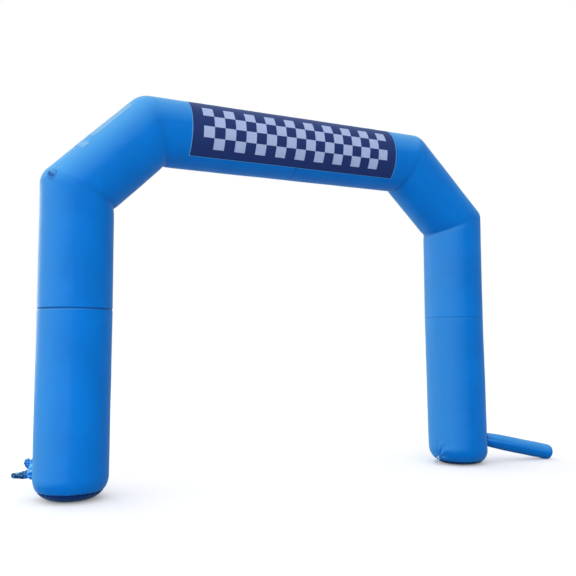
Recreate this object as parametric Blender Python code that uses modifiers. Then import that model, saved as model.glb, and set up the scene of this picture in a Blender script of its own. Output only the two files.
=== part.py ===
"""Inflatable race arch: five blown-up cloth tubes that stand on their own rounded ends.

Metres, +Z up. X runs along the beam, from the left leg to the right one, and -Y is the front.
Every tube is a filled solid of its inflated shape, and the seams are the gaps between them.
"""

import math
from collections import namedtuple

import bmesh
import bpy
from mathutils import Matrix, Vector

# The arch: tube size, and where the tubes' axes meet
TUBE_RADIUS = 0.40
LEG_SPACING = 5.20
SHOULDER_HEIGHT = 3.35
SHOULDER_RUN = 0.82
BEAM_HEIGHT = 4.15
FOOT_ROUNDING = 0.24
INNER_CORNER_ROUNDING = 0.03

# The origin is on the ground under the middle of everything. The blower sleeve reaches far out to
# the right, so the middle of the arch alone lies to the left of it
ARCH_MIDDLE = Vector((-0.425, 0.001, 0.0))

# Gap between pieces that touch, and the steps of the round shapes
GAP = 0.0003
RING_SIDES = 48
CORNER_STEPS = 8
FOOT_STEPS = 4
SLEEVE_SIDES = 24

# What differs between the two sides: the feet stand a little wide, the right one's outer side is
# rounded more tightly, and the seams lie unevenly
Side = namedtuple(
    "Side", "name sign foot_spread foot_outer base_seam mid_seam shoulder_rounding beam_rounding"
)
LEFT = Side("left", -1, 0.01, 0.24, 0.095, 2.04, 0.22, 0.26)
RIGHT = Side("right", 1, 0.03, 0.16, 0.045, 2.01, 0.14, 0.22)

# Printed banner on the front of the beam: its length, its height round the tube, and how far its
# top edge is turned from the top of the tube towards the front
BANNER_LENGTH = 2.80
BANNER_HEIGHT = 0.80
BANNER_TOP = math.radians(25.4)
BANNER_THICKNESS = 0.002
BANNER_STEPS = 14

# Pale hook and loop tape on the left shoulder: along the shoulder from its lower mitre, and
# round the tube from its outer side towards the front
Tape = namedtuple("Tape", "name start end turn_from turn_to steps")
TAPES = (
    Tape("tape_short", 0.31, 0.42, math.radians(9.0), math.radians(39.0), 2),
    Tape("tape_long", 0.50, 1.12, math.radians(9.0), math.radians(32.0), 8),
)
TAPE_THICKNESS = 0.0015

# Guy points: a round patch over the shoulder's lower seam, and a slack strap sewn across it
GUY_TURN = math.radians(35.0)
GUY_TILT = math.radians(16.0)
PATCH_RADIUS = 0.062
PATCH_THICKNESS = 0.0015
PATCH_RINGS = 5
STRAP_WIDTH = 0.025
STRAP_THICKNESS = 0.002
GUY_FOOT = 0.018
GUY_SPAN = 0.068
GUY_RISE = 0.026
GUY_DROOP = 0.016
GUY_STEPS = 18

# Sleeves: stations along a level heading from the leg's axis, each with its height above the
# ground and its half sizes across the heading and square to both
Station = namedtuple("Station", "reach height across upright")
BLOWER_HEADING = math.radians(-12.0)
BLOWER_STATIONS = (
    Station(0.300, 0.3338, 0.087, 0.087),
    Station(0.405, 0.3110, 0.088, 0.088),
    Station(0.480, 0.2947, 0.094, 0.094),
    Station(0.600, 0.2687, 0.101, 0.101),
    Station(0.800, 0.2253, 0.104, 0.104),
    Station(1.000, 0.1819, 0.105, 0.105),
    Station(1.180, 0.1428, 0.105, 0.105),
    Station(1.290, 0.1190, 0.105, 0.105),
    Station(1.330, 0.1103, 0.105, 0.105),
    Station(1.365, 0.1027, 0.105, 0.105),
    Station(1.388, 0.0977, 0.102, 0.102),
    Station(1.406, 0.0938, 0.096, 0.096),
    Station(1.420, 0.0907, 0.087, 0.087),
    Station(1.428, 0.0890, 0.078, 0.078),
)
BLOWER_END = (
    Station(1.4283, 0.0889, 0.078, 0.078),
    Station(1.435, 0.0875, 0.067, 0.067),
    Station(1.440, 0.0864, 0.050, 0.050),
    Station(1.442, 0.0860, 0.025, 0.025),
)

# The second sleeve is gathered, tied close to the leg and left with its slack end standing out
TIED_HEADING = math.radians(160.0)
PLEATS = 9
PLEAT_DEPTH = 0.08
TIED_SIDES = 54
TIED_STATIONS = (
    Station(0.300, 0.305, 0.082, 0.086),
    Station(0.402, 0.304, 0.082, 0.086),
    Station(0.420, 0.300, 0.078, 0.080),
    Station(0.434, 0.291, 0.063, 0.065),
    Station(0.446, 0.279, 0.047, 0.049),
    Station(0.456, 0.269, 0.039, 0.039),
    Station(0.477, 0.266, 0.039, 0.039),
    Station(0.487, 0.263, 0.047, 0.040),
    Station(0.503, 0.261, 0.052, 0.039),
    Station(0.524, 0.259, 0.050, 0.035),
    Station(0.548, 0.257, 0.045, 0.031),
    Station(0.570, 0.256, 0.044, 0.029),
    Station(0.590, 0.256, 0.043, 0.029),
    Station(0.607, 0.257, 0.040, 0.027),
    Station(0.618, 0.258, 0.033, 0.021),
)
FOLD_SIDES = 20
TALL_FOLD = (
    Station(0.434, 0.318, 0.019, 0.018),
    Station(0.445, 0.344, 0.022, 0.023),
    Station(0.455, 0.368, 0.023, 0.028),
    Station(0.458, 0.392, 0.022, 0.029),
    Station(0.454, 0.416, 0.018, 0.024),
    Station(0.448, 0.434, 0.013, 0.016),
    Station(0.444, 0.444, 0.007, 0.008),
)
SHORT_FOLD = (
    Station(0.426, 0.336, 0.020, 0.013),
    Station(0.423, 0.361, 0.023, 0.016),
    Station(0.420, 0.387, 0.023, 0.017),
    Station(0.418, 0.411, 0.019, 0.016),
    Station(0.416, 0.428, 0.013, 0.011),
    Station(0.415, 0.437, 0.007, 0.006),
)

# Tie round the gathered sleeve: a flat tape with a knot behind and two short free ends
TIE_START = 0.459
TIE_END = 0.474
TIE_THICKNESS = 0.003
TIE_WIDTH = 0.012
KNOT_HALF_SIZE = Vector((0.009, 0.007, 0.008))
TieEnd = namedtuple("TieEnd", "turn length")
TIE_ENDS = (TieEnd(math.radians(-24.0), 0.085), TieEnd(math.radians(20.0), 0.070))
TIE_END_STEPS = 6

# Stake loop: a folded strap sewn to the inner side of the right leg, just above the base seam. Its
# path is given out from the wall of the tube above it, and up from the ground
LoopPoint = namedtuple("LoopPoint", "out height")
STAKE_PATH = (
    LoopPoint(-0.0256, 0.128),
    LoopPoint(-0.0318, 0.117),
    LoopPoint(-0.0200, 0.102),
    LoopPoint(0.0020, 0.088),
    LoopPoint(0.0240, 0.068),
    LoopPoint(0.0380, 0.046),
    LoopPoint(0.0400, 0.028),
    LoopPoint(0.0300, 0.017),
    LoopPoint(0.0140, 0.021),
    LoopPoint(-0.0060, 0.038),
    LoopPoint(-0.0240, 0.056),
    LoopPoint(-0.0400, 0.072),
    LoopPoint(-0.0528, 0.086),
)
STAKE_STEPS = 3
STAKE_TURN = math.radians(6.0)

# Finishes: base colour as linear red, green and blue, and roughness
Finish = namedtuple("Finish", "colour roughness")
BLUE_CLOTH = Finish((0.010, 0.190, 0.720), 0.55)
BASE_CLOTH = Finish((0.008, 0.060, 0.260), 0.60)
BANNER_CLOTH = Finish((0.022, 0.035, 0.170), 0.60)
PALE_TAPE = Finish((0.280, 0.560, 0.850), 0.80)
BLUE_WEBBING = Finish((0.030, 0.160, 0.520), 0.75)
PALE_WEBBING = Finish((0.560, 0.740, 0.900), 0.75)


def clear_scene():
    """Remove every object that the file opened with."""
    for thing in list(bpy.data.objects):
        bpy.data.objects.remove(thing)


def make_collection(name):
    """A collection of this name, linked to the scene."""
    group = bpy.data.collections.new(name)
    bpy.context.scene.collection.children.link(group)
    return group


def make_material(name, finish):
    """A Principled BSDF with the colour and roughness of one finish."""
    material = bpy.data.materials.new(name)
    material.use_nodes = True
    shader = material.node_tree.nodes["Principled BSDF"]
    shader.inputs["Base Color"].default_value = (*finish.colour, 1.0)
    shader.inputs["Roughness"].default_value = finish.roughness
    shader.inputs["Metallic"].default_value = 0.0
    return material


def add_object(name, shape, group, finish=None):
    """Turn a bmesh into a named object in a collection, with its own material."""
    bmesh.ops.recalc_face_normals(shape, faces=shape.faces)
    mesh = bpy.data.meshes.new(name)
    shape.to_mesh(mesh)
    shape.free()
    mesh.shade_smooth()
    mesh.set_sharp_from_angle(angle=math.radians(35.0))
    thing = bpy.data.objects.new(name, mesh)
    group.objects.link(thing)
    if finish:
        mesh.materials.append(make_material(name, finish))
    else:
        thing.hide_render = True
        thing.display_type = "WIRE"
    return thing


def loft(rings, closed=False):
    """A closed solid through rings of equal count, capped at its ends unless it closes on itself."""
    shape = bmesh.new()
    rows = [[shape.verts.new(point) for point in ring] for ring in rings]
    pairs = list(zip(rows, rows[1:]))
    if closed:
        pairs.append((rows[-1], rows[0]))
    else:
        shape.faces.new(rows[0])
        shape.faces.new(rows[-1])
    for row, following in pairs:
        for index in range(len(row)):
            after = (index + 1) % len(row)
            shape.faces.new((row[index], row[after], following[after], following[index]))
    return shape


def sheet(rows):
    """An open surface through rows of points, to be given its thickness by a modifier."""
    shape = bmesh.new()
    lines = [[shape.verts.new(point) for point in row] for row in rows]
    for line, following in zip(lines, lines[1:]):
        for index in range(len(line) - 1):
            corners = (line[index], line[index + 1], following[index + 1], following[index])
            shape.faces.new(corners)
    return shape


def thicken(thing, thickness):
    """Give an open sheet its thickness, on the side that its faces point to."""
    solid = thing.modifiers.new("thickness", "SOLIDIFY")
    solid.thickness = thickness
    solid.offset = 1.0


def combine(thing, other, operation):
    """Join another shape to this one, or cut it away."""
    boolean = thing.modifiers.new(other.name, "BOOLEAN")
    boolean.object = other
    boolean.operation = operation
    boolean.solver = "EXACT"


def steps_between(start, end, count):
    """Evenly spaced values from start to end, both included."""
    return [start + (end - start) * index / count for index in range(count + 1)]


def circle_turns(count):
    """Equal turns once round, without the repeat of the first."""
    return [2.0 * math.pi * index / count for index in range(count)]


def place(side, outward, front, height):
    """A point by its distance out from the arch's middle, to the front, and above the ground."""
    return ARCH_MIDDLE + Vector((side.sign * outward, -front, height))


def leg_axis(side, height):
    """How far out the leg's axis is at this height: below the middle seam it leans outwards."""
    lean = max(0.0, 1.0 - height / side.mid_seam)
    return LEG_SPACING / 2.0 + side.foot_spread * lean


def foot_radius(side, turn, height):
    """The tube's radius, which draws in where its end rounds under to the ground."""
    outer_share = ((1.0 + math.cos(turn)) / 2.0) ** 2
    rounding = FOOT_ROUNDING + (side.foot_outer - FOOT_ROUNDING) * outer_share
    drop = max(0.0, 1.0 - height / rounding)
    return TUBE_RADIUS - rounding * (1.0 - math.sqrt(1.0 - drop * drop))


def foot_heights(start, end):
    """Heights from start to end, closest where the foot curves most."""
    first, last = (math.acos(1.0 - height / FOOT_ROUNDING) for height in (start, end))
    return [FOOT_ROUNDING * (1.0 - math.cos(swell)) for swell in steps_between(first, last, FOOT_STEPS)]


def leg_ring(side, height, extra=0.0):
    """A level ring of the leg, grown by an extra where it is used as a cutter."""
    centre = leg_axis(side, height)
    ring = []
    for turn in circle_turns(RING_SIDES):
        radius = foot_radius(side, turn, height) + extra
        ring.append(place(side, centre + radius * math.cos(turn), radius * math.sin(turn), height))
    return ring


# Headings are the turn of a tube's outer side from straight out, up to straight up for the beam
LEG_HEADING = 0.0
SHOULDER_HEADING = math.atan2(SHOULDER_RUN, BEAM_HEIGHT - SHOULDER_HEIGHT)
BEAM_HEADING = math.pi / 2.0
Bend = namedtuple("Bend", "outward height before after rounding")


def shoulder_bend(side):
    """The mitre between leg and shoulder."""
    outward = LEG_SPACING / 2.0
    return Bend(outward, SHOULDER_HEIGHT, LEG_HEADING, SHOULDER_HEADING, side.shoulder_rounding)


def beam_bend(side):
    """The mitre between shoulder and beam."""
    outward = LEG_SPACING / 2.0 - SHOULDER_RUN
    return Bend(outward, BEAM_HEIGHT, SHOULDER_HEADING, BEAM_HEADING, side.beam_rounding)


def bend_rounding(bend, turn):
    """The rounding of the mitre's edge, widest on the outer side and tight on the inner one."""
    outer_share = ((1.0 + math.cos(turn)) / 2.0) ** 2
    return INNER_CORNER_ROUNDING + (bend.rounding - INNER_CORNER_ROUNDING) * outer_share


def bend_point(side, bend, turn, part, lift=0.0, shift=0.0):
    """A point on a rounded mitre, or on the straight tube before or after it.

    The turn goes round the tube from its outer side to the front, and the part from 0, where the
    first tube ends, to 1, where the next one starts. The lift raises the point off the cloth, and
    the shift moves it along the path, to leave half a seam's gap.
    """
    half = (bend.after - bend.before) / 2.0
    middle = bend.before + half
    rounding = bend_rounding(bend, turn)
    offset = (TUBE_RADIUS * math.cos(turn) - rounding) / math.cos(half)
    curved = min(max(part, 0.0), 1.0)
    straight = (part - curved) * rounding * 2.0 * half
    heading = bend.before + curved * 2.0 * half
    reach = rounding + lift * math.cos(turn)
    outward = bend.outward + offset * math.cos(middle) + reach * math.cos(heading)
    height = bend.height + offset * math.sin(middle) + reach * math.sin(heading)
    outward -= shift * math.sin(middle) + straight * math.sin(heading)
    height += shift * math.cos(middle) + straight * math.cos(heading)
    return place(side, outward, (TUBE_RADIUS + lift) * math.sin(turn), height)


def bend_ring(side, bend, part, shift=0.0):
    """A ring round a rounded mitre."""
    return [bend_point(side, bend, turn, part, shift=shift) for turn in circle_turns(RING_SIDES)]


def first_half(side, bend):
    """Rings from the end of the straight tube to the seam in the mitre."""
    rings = [bend_ring(side, bend, part) for part in steps_between(0.0, 0.5, CORNER_STEPS // 2)[:-1]]
    return rings + [bend_ring(side, bend, 0.5, -GAP / 2.0)]


def second_half(side, bend):
    """Rings from the seam in the mitre to the start of the next straight tube."""
    rings = [bend_ring(side, bend, part) for part in steps_between(0.5, 1.0, CORNER_STEPS // 2)[1:]]
    return [bend_ring(side, bend, 0.5, GAP / 2.0)] + rings


def beam_ring(side, outward):
    """A ring round the beam at this distance from the arch's middle."""
    return [
        place(side, outward, TUBE_RADIUS * math.sin(turn), BEAM_HEIGHT + TUBE_RADIUS * math.cos(turn))
        for turn in circle_turns(RING_SIDES)
    ]


def shoulder_point(side, along, turn, lift):
    """A point on the straight of the shoulder, at a distance along it from its lower mitre."""
    radius = TUBE_RADIUS + lift
    outward = LEG_SPACING / 2.0 - along * math.sin(SHOULDER_HEADING)
    outward += radius * math.cos(turn) * math.cos(SHOULDER_HEADING)
    height = SHOULDER_HEIGHT + along * math.cos(SHOULDER_HEADING)
    height += radius * math.cos(turn) * math.sin(SHOULDER_HEADING)
    return place(side, outward, radius * math.sin(turn), height)


def sheet_turns(start, end):
    """Turns for a sheet on a tube: its two edges, and each of the tube's own facets between."""
    return [start] + [turn for turn in circle_turns(RING_SIDES) if start < turn < end] + [end]


def make_leg(side, group):
    """Base, lower and upper tube of one leg."""
    half = GAP / 2.0
    heights = foot_heights(0.0, side.base_seam - half)
    add_object(f"base_{side.name}", loft([leg_ring(side, height) for height in heights]), group, BASE_CLOTH)
    heights = foot_heights(side.base_seam + half, FOOT_ROUNDING) + [side.mid_seam - half]
    rings = [leg_ring(side, height) for height in heights]
    add_object(f"leg_lower_{side.name}", loft(rings), group, BLUE_CLOTH)
    rings = [leg_ring(side, side.mid_seam + half)] + first_half(side, shoulder_bend(side))
    add_object(f"leg_upper_{side.name}", loft(rings), group, BLUE_CLOTH)


def make_top(side, group):
    """Shoulder and half beam of one side."""
    rings = second_half(side, shoulder_bend(side)) + first_half(side, beam_bend(side))
    add_object(f"shoulder_{side.name}", loft(rings), group, BLUE_CLOTH)
    rings = second_half(side, beam_bend(side)) + [beam_ring(side, GAP / 2.0)]
    add_object(f"beam_{side.name}", loft(rings), group, BLUE_CLOTH)


def make_banner(group):
    """The printed banner, bent round the front of the beam."""
    radius = TUBE_RADIUS + GAP
    turns = sheet_turns(BANNER_TOP, BANNER_TOP + BANNER_HEIGHT / TUBE_RADIUS)
    rows = [
        [
            place(RIGHT, outward, radius * math.sin(turn), BEAM_HEIGHT + radius * math.cos(turn))
            for outward in steps_between(-BANNER_LENGTH / 2.0, BANNER_LENGTH / 2.0, BANNER_STEPS)
        ]
        for turn in turns
    ]
    banner = add_object("banner", outward_sheet(rows), group, BANNER_CLOTH)
    thicken(banner, BANNER_THICKNESS)


def outward_sheet(rows):
    """A sheet whose faces point away from the tube that it lies on."""
    shape = sheet(rows)
    bmesh.ops.reverse_faces(shape, faces=shape.faces)
    return shape


def make_tapes(group):
    """Hook and loop tape along the left shoulder."""
    for tape in TAPES:
        rows = [
            [
                shoulder_point(LEFT, along, turn, GAP)
                for along in steps_between(tape.start, tape.end, tape.steps)
            ]
            for turn in sheet_turns(tape.turn_from, tape.turn_to)
        ]
        thicken(add_object(tape.name, outward_sheet(rows), group, PALE_TAPE), TAPE_THICKNESS)


def guy_point(side, back, along, across, lift):
    """A point over a guy patch, by its distances along and across the strap from the middle.

    Turned to the back, the patch mirrors the one at the front.
    """
    bend = shoulder_bend(side)
    round_tube = along * math.cos(GUY_TILT) - across * math.sin(GUY_TILT)
    down_tube = along * math.sin(GUY_TILT) + across * math.cos(GUY_TILT)
    turn = GUY_TURN + round_tube / TUBE_RADIUS
    arc = bend_rounding(bend, turn) * (bend.after - bend.before)
    point = bend_point(side, bend, turn, 0.5 - down_tube / arc, lift)
    if back:
        point.y = 2.0 * ARCH_MIDDLE.y - point.y
    return point


def make_guy_point(side, back, group):
    """A round patch over the shoulder's lower seam, with its drooping strap."""
    ends = "back" if back else "front"
    low, high = 1.5 * GAP, 1.5 * GAP + PATCH_THICKNESS
    radii = [PATCH_RADIUS * index / PATCH_RINGS for index in range(1, PATCH_RINGS + 1)]
    rims = [(radius, high) for radius in radii] + [(radius, low) for radius in reversed(radii)]
    rings = [
        [
            guy_point(side, back, radius * math.cos(turn), radius * math.sin(turn), lift)
            for turn in circle_turns(SLEEVE_SIDES)
        ]
        for radius, lift in rims
    ]
    add_object(f"guy_patch_{side.name}_{ends}", loft(rings), group, BLUE_CLOTH)

    base = high + 1.5 * GAP
    half_length = GUY_SPAN / 2.0 + GUY_FOOT
    rings = []
    for along in steps_between(-half_length, half_length, GUY_STEPS):
        arch = max(0.0, math.cos(math.pi * along / (GUY_SPAN + GUY_FOOT)))
        lift = base + GUY_RISE * arch
        droop = GUY_DROOP * arch
        corners = (
            (-0.5, 0.0), (0.0, 0.0), (0.5, 0.0),
            (0.5, STRAP_THICKNESS), (0.0, STRAP_THICKNESS), (-0.5, STRAP_THICKNESS),
        )
        rings.append([
            guy_point(side, back, along, droop + share * STRAP_WIDTH, lift + raised)
            for share, raised in corners
        ])
    add_object(f"guy_loop_{side.name}_{ends}", loft(rings), group, BLUE_WEBBING)


def curve_through(points, steps):
    """Points on a smooth curve through a row of points, by Catmull and Rom's rule."""
    padded = [2 * points[0] - points[1]] + list(points) + [2 * points[-1] - points[-2]]
    smooth = []
    for before, start, end, beyond in zip(padded, padded[1:], padded[2:], padded[3:]):
        for step in range(steps):
            share = step / steps
            smooth.append(0.5 * (
                2 * start + (end - before) * share
                + (2 * before - 5 * start + 4 * end - beyond) * share ** 2
                + (3 * start - before - 3 * end + beyond) * share ** 3
            ))
    return smooth + [points[-1]]


def strap_along(path, widthways, width, thickness):
    """A flat strap that follows a path, with its width along one direction."""
    rings = []
    for index, point in enumerate(path):
        ahead = path[min(index + 1, len(path) - 1)] - path[max(index - 1, 0)]
        out = ahead.cross(widthways).normalized() * thickness / 2.0
        side = widthways * width / 2.0
        rings.append([point - side - out, point + side - out, point + side + out, point - side + out])
    return loft(rings)


def make_stake_loop(side, group):
    """The folded strap on the inner side of a leg, just above its base seam."""
    inward = Vector((-side.sign * math.cos(STAKE_TURN), side.sign * -math.sin(STAKE_TURN), 0.0))
    widthways = Vector((-inward.y, inward.x, 0.0))
    points = []
    for step in STAKE_PATH:
        foot = place(side, leg_axis(side, step.height), 0.0, step.height)
        points.append(foot + inward * (TUBE_RADIUS + step.out))
    path = curve_through(points, STAKE_STEPS)
    shape = strap_along(path, widthways, STRAP_WIDTH, STRAP_THICKNESS)
    add_object(f"stake_loop_{side.name}", shape, group, PALE_WEBBING)


def sleeve_frame(side, heading):
    """The leg's axis on the ground, and the directions along and across a sleeve's heading."""
    foot = place(side, leg_axis(side, 0.0), 0.0, 0.0)
    along = Vector((math.cos(heading), math.sin(heading), 0.0))
    return foot, along, Vector((-along.y, along.x, 0.0))


def sleeve_rings(side, heading, stations, sides, level=False):
    """Rings through the stations, kept above the ground.

    The rings are square to the path, or for a level sleeve stand upright and have its pleats.
    """
    foot, along, across = sleeve_frame(side, heading)
    path = [foot + along * station.reach + Vector((0, 0, station.height)) for station in stations]
    rings = []
    for index, station in enumerate(stations):
        ahead = path[min(index + 1, len(path) - 1)] - path[max(index - 1, 0)]
        upright = Vector((0, 0, 1)) if level else ahead.cross(across).normalized()
        ring = []
        for turn in circle_turns(sides):
            swell = 1.0 + PLEAT_DEPTH * math.cos(PLEATS * turn) if level else 1.0
            point = path[index] + across * (station.across * swell * math.cos(turn))
            point += upright * (station.upright * swell * math.sin(turn))
            point.z = max(point.z, 0.0)
            ring.append(point)
        rings.append(ring)
    return rings


def leg_cutter(side, cutters):
    """The lower leg's outer shape grown by the gap, which trims a sleeve to the leg's wall."""
    heights = foot_heights(side.base_seam, FOOT_ROUNDING) + [side.mid_seam]
    rings = [leg_ring(side, height, GAP) for height in heights]
    return add_object(f"wall_{side.name}", loft(rings), cutters)


def make_blower_sleeve(group, cutters):
    """The open sleeve on the right leg, blown up and resting its end on the ground."""
    rings = sleeve_rings(RIGHT, BLOWER_HEADING, BLOWER_STATIONS, SLEEVE_SIDES)
    sleeve = add_object("blower_sleeve", loft(rings), group, BLUE_CLOTH)
    combine(sleeve, leg_cutter(RIGHT, cutters), "DIFFERENCE")
    rings = sleeve_rings(RIGHT, BLOWER_HEADING, BLOWER_END, SLEEVE_SIDES)
    add_object("blower_sleeve_end", loft(rings), group, BLUE_CLOTH)


def make_tied_sleeve(group, cutters):
    """The spare sleeve on the left leg, gathered, tied and folded over."""
    rings = sleeve_rings(LEFT, TIED_HEADING, TIED_STATIONS, TIED_SIDES, level=True)
    sleeve = add_object("tied_sleeve", loft(rings), group, BLUE_CLOTH)
    combine(sleeve, leg_cutter(LEFT, cutters), "DIFFERENCE")
    folds = []
    for name, stations in (("tall_fold", TALL_FOLD), ("short_fold", SHORT_FOLD)):
        rings = sleeve_rings(LEFT, TIED_HEADING, stations, FOLD_SIDES)
        folds.append(add_object(name, loft(rings), cutters))
    tall_fold, short_fold = folds
    combine(tall_fold, short_fold, "UNION")
    combine(sleeve, tall_fold, "UNION")


def neck_point(reach):
    """The middle of the gathered sleeve's neck at this reach, and the neck's half size there."""
    start, end = next(
        pair for pair in zip(TIED_STATIONS, TIED_STATIONS[1:]) if pair[0].reach <= reach <= pair[1].reach
    )
    share = (reach - start.reach) / (end.reach - start.reach)
    height = start.height + share * (end.height - start.height)
    return height, max(start.across, end.across)


def make_sleeve_tie(group, cutters):
    """The tape round the gathered sleeve, its knot and its two free ends."""
    foot, along, across = sleeve_frame(LEFT, TIED_HEADING)
    ends = []
    for reach in (TIE_START, TIE_END):
        height, radius = neck_point(reach)
        ends.append(foot + along * reach + Vector((0, 0, height)))
    inner = radius * (1.0 + PLEAT_DEPTH) + 3.0 * GAP
    outer = inner + TIE_THICKNESS
    upright = Vector((0, 0, 1))
    rings = []
    for middle, size in ((ends[0], inner), (ends[0], outer), (ends[1], outer), (ends[1], inner)):
        rings.append([
            middle + across * (size * math.cos(turn)) + upright * (size * math.sin(turn))
            for turn in circle_turns(SLEEVE_SIDES)
        ])
    tie = add_object("sleeve_tie", loft(rings, closed=True), group, BLUE_WEBBING)

    knot_place = (ends[0] + ends[1]) / 2.0 - across * (outer + KNOT_HALF_SIZE.y - GAP)
    knot = bmesh.new()
    bmesh.ops.create_uvsphere(knot, u_segments=16, v_segments=10, radius=1.0)
    bmesh.ops.scale(knot, vec=KNOT_HALF_SIZE, verts=knot.verts)
    bmesh.ops.rotate(knot, matrix=Matrix.Rotation(TIED_HEADING, 3, "Z"), verts=knot.verts)
    bmesh.ops.translate(knot, vec=knot_place, verts=knot.verts)
    combine(tie, add_object("knot", knot, cutters), "UNION")
    for index, end in enumerate(TIE_ENDS):
        path = []
        for share in steps_between(0.0, 1.0, TIE_END_STEPS):
            swing = along * (math.sin(end.turn) * end.length * share ** 2)
            drop = Vector((0, 0, -math.cos(end.turn) * end.length * share))
            path.append(knot_place + swing + drop)
        shape = strap_along(path, along, TIE_WIDTH, STRAP_THICKNESS)
        combine(tie, add_object(f"tie_end_{index}", shape, cutters), "UNION")


def main():
    """Build every piece of the arch."""
    clear_scene()
    group = make_collection("inflatable_arch")
    cutters = make_collection("cutters")
    for side in (LEFT, RIGHT):
        make_leg(side, group)
        make_top(side, group)
    make_stake_loop(RIGHT, group)
    make_banner(group)
    make_tapes(group)
    make_guy_point(LEFT, False, group)
    make_guy_point(RIGHT, True, group)
    make_blower_sleeve(group, cutters)
    make_tied_sleeve(group, cutters)
    make_sleeve_tie(group, cutters)


main()
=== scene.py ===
"""The looks of an inflatable race arch, over the frame that its part was packed into.

Metres, +Z up. X runs along the beam towards the leg with the blower sleeve, and -Y is the front.
"""

import math
from collections import namedtuple

import bmesh
import bpy
from mathutils import Matrix, Vector, noise


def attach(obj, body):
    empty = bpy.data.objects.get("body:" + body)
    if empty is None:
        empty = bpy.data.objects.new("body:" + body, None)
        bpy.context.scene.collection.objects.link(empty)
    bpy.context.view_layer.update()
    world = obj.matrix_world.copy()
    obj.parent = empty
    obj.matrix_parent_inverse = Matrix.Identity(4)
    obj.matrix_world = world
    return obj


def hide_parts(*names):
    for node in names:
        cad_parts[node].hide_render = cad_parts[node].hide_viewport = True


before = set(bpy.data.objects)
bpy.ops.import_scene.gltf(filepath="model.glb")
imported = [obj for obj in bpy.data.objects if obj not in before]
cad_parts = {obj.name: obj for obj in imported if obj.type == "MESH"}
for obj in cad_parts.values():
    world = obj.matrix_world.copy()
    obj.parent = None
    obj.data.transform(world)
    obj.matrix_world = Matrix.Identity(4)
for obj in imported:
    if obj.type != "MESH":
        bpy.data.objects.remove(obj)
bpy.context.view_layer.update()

bl_info = {
    "name": "Inflatable arch",
    "version": (1, 0, 0),
    "blender": (4, 5, 0),
    "location": "3D View > Sidebar > Arch",
    "description": "Skins, seams, banner, sleeves and straps of an inflatable race arch",
    "category": "Object",
}

# The photograph's frame, in pixels, and the camera that was matched to the arch's outline
FRAME_SIZE = 576
SENSOR = 36.0
FOCAL_PIXELS = 711.42
EYE_FROM_MIDDLE = Vector((-3.8736, -8.0747, 1.649))
EYE_YAW = 0.4474
EYE_PITCH = 0.0793
EYE_ROLL = -0.0034

# Where the arch's own middle stands in the frame
ARCH_MIDDLE = Vector((-0.425, 0.001, 0.0))

# How finely a skin is divided round a tube, and how close together points are joined
ROUND_TUBE = 168
MERGE_DISTANCE = 0.00002

# What differs between the two sides: the feet stand a little wide, the right one's outer side is
# rounded more tightly, the seams lie unevenly, the mid-leg seam shows more on the left, and the
# mitres are rounded outside by different radii
Side = namedtuple(
    "Side", "name sign foot_spread foot_outer base_seam mid_seam mid_share shoulder_rounding beam_rounding"
)
LEFT = Side("left", -1, 0.01, 0.24, 0.095, 2.04, 1.0, 0.22, 0.26)
RIGHT = Side("right", 1, 0.03, 0.16, 0.045, 2.01, 0.28, 0.14, 0.22)

# How a seam pulls its cloth in: depth and reach of the groove, depth and reach of the puckers,
# how dark the seam line and its painted shadow are, and whether it fades on the outer side of a mitre
Seam = namedtuple("Seam", "depth reach pucker pucker_reach dark fades")
NO_SEAM = Seam(0.0, 0.01, 0.0, 0.01, 0.0, False)
RING_SEAM = Seam(0.007, 0.009, 0.0012, 0.050, 0.72, False)
CROWN_SEAM = Seam(0.004, 0.012, 0.0012, 0.050, 0.25, False)
MITRE_SEAM = Seam(0.007, 0.040, 0.0034, 0.130, 0.12, True)
BASE_SEAM = Seam(0.005, 0.008, 0.0075, 0.070, 0.45, False)

# Panels of one side from the ground up: rows along the tube, the seams at its two ends, the share
# of its length from which its weave is laid out, and its material slot
Panel = namedtuple("Panel", "name rows first last anchor slot")
PANELS = (
    Panel("base", 40, NO_SEAM, BASE_SEAM, 0.0, "base_cloth"),
    Panel("leg_lower", 110, BASE_SEAM, RING_SEAM, 0.0, "blue_cloth"),
    Panel("leg_upper", 96, RING_SEAM, MITRE_SEAM, 0.0, "blue_cloth"),
    Panel("shoulder", 100, MITRE_SEAM, MITRE_SEAM, 0.5, "blue_cloth"),
    Panel("beam", 110, MITRE_SEAM, CROWN_SEAM, 1.0, "blue_cloth"),
)

# Places where a strap or a sleeve pulls the skin into folds: side, turn from the outer side to
# the front, height, depth, reach and number of folds
Pull = namedtuple("Pull", "side turn height depth reach folds")
PULLS = (
    Pull(RIGHT, math.radians(174.0), 0.120, 0.022, 0.120, 9),
    Pull(RIGHT, math.radians(20.0), 0.305, 0.006, 0.150, 11),
    Pull(LEFT, math.radians(-20.0), 0.305, 0.006, 0.150, 11),
    Pull(LEFT, math.radians(35.0), 3.500, 0.006, 0.070, 6),
    Pull(RIGHT, math.radians(-35.0), 3.500, 0.006, 0.070, 6),
)

# The blower sleeve: its heading and radius, where it leaves the wall of the leg and how it falls
# from there, and the reach at which its end starts to round off, has its seam and stops
SLEEVE_HEADING = math.radians(-12.0)
SLEEVE_RADIUS = 0.105
SLEEVE_START = 0.375
SLEEVE_WALL = 0.405
SLEEVE_ROOT = 0.311
SLEEVE_SLOPE = 0.2170
SLEEVE_ROUNDS = 1.376
SLEEVE_SEAM = 1.438
SLEEVE_TIP = 1.454
SLEEVE_CREASE = math.radians(188.0)

# The gathered sleeve: its heading, and the reaches at which it leaves the leg and is tied
TIED_HEADING = math.radians(160.0)
TIED_ROOT = 0.408
TIED_NECK = 0.4665

# Its upright folds: the reach they are widened about, and the height they are pressed down from
EAR_REACH = 0.434
EAR_TOP = 0.418

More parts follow.
